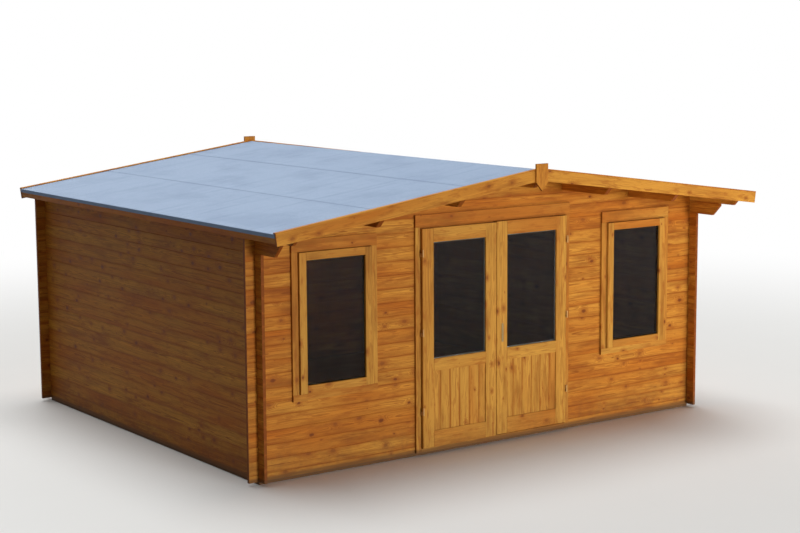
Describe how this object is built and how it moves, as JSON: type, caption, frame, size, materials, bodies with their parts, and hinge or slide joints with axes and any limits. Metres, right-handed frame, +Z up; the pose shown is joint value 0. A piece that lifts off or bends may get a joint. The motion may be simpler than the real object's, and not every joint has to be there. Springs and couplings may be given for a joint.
{
  "type": "garden shed",
  "caption": "Log-walled garden shed with a low felted roof overhanging the front, half-glazed double doors and a window each side.",
  "frame": {"origin": "middle of the shed's whole ground rectangle, at the level its bearers rest on", "axes": "+X to the right along the front seen from outside, +Y from the front to the back, +Z up"},
  "size_m": [5.1366, 4.716, 2.4707],
  "materials": {
    "stained_logs": "orange-brown stained pine logs",
    "joinery_pine": "golden stained pine joinery",
    "plain_boards": "planed boards",
    "treated_timber": "dark treated bearers",
    "roof_felt": "grey mineral-surfaced bitumen felt",
    "glazing": "clear sealed panes",
    "zinc_steel": "zinc-plated"
  },
  "bodies": {
    "shed": {"bearers": "treated_timber", "floor_boards": "plain_boards", "roof_boards_right": "plain_boards", "roof_boards_left": "plain_boards", "door_threshold": "joinery_pine", "right_wall": "stained_logs", "left_wall": "stained_logs", "right_top_logs": "stained_logs", "left_top_logs": "stained_logs", "front_wall_right": "stained_logs", "front_wall_left": "stained_logs", "back_wall": "stained_logs", "front_gable": "stained_logs", "back_gable": "stained_logs", "purlins": "stained_logs", "eave_trims": "joinery_pine", "front_barge_right": "joinery_pine", "front_barge_left": "joinery_pine", "back_barge_right": "joinery_pine", "back_barge_left": "joinery_pine", "barge_caps": "joinery_pine", "front_finial": "joinery_pine", "back_finial": "joinery_pine", "door_jamb_right": "joinery_pine", "door_jamb_left": "joinery_pine", "door_head": "joinery_pine", "window_frame_right": "joinery_pine", "window_frame_left": "joinery_pine", "casement_right": "joinery_pine", "casement_left": "joinery_pine", "roof_felt_right": "roof_felt", "roof_felt_left": "roof_felt", "window_glass_right": "glazing", "window_glass_left": "glazing", "hinge_pins": "zinc_steel"},
    "left_leaf": {"left_door_leaf": "joinery_pine", "left_door_panel": "joinery_pine", "left_door_glass": "glazing", "left_hinge_sleeves": "zinc_steel"},
    "right_leaf": {"right_door_leaf": "joinery_pine", "right_door_panel": "joinery_pine", "right_door_glass": "glazing", "right_hinge_sleeves": "zinc_steel", "lock_plate": "zinc_steel"}
  },
  "joints": [
    {"name": "left_leaf_hinge", "type": "hinge", "parent": "shed", "child": "left_leaf", "pos_m": [-0.7925, -1.772, 1.003], "axis": [0, 0, -1], "range_deg": [0, 160]},
    {"name": "right_leaf_hinge", "type": "hinge", "parent": "shed", "child": "right_leaf", "pos_m": [0.7925, -1.772, 1.003], "axis": [0, 0, 1], "range_deg": [0, 160]}
  ]
}
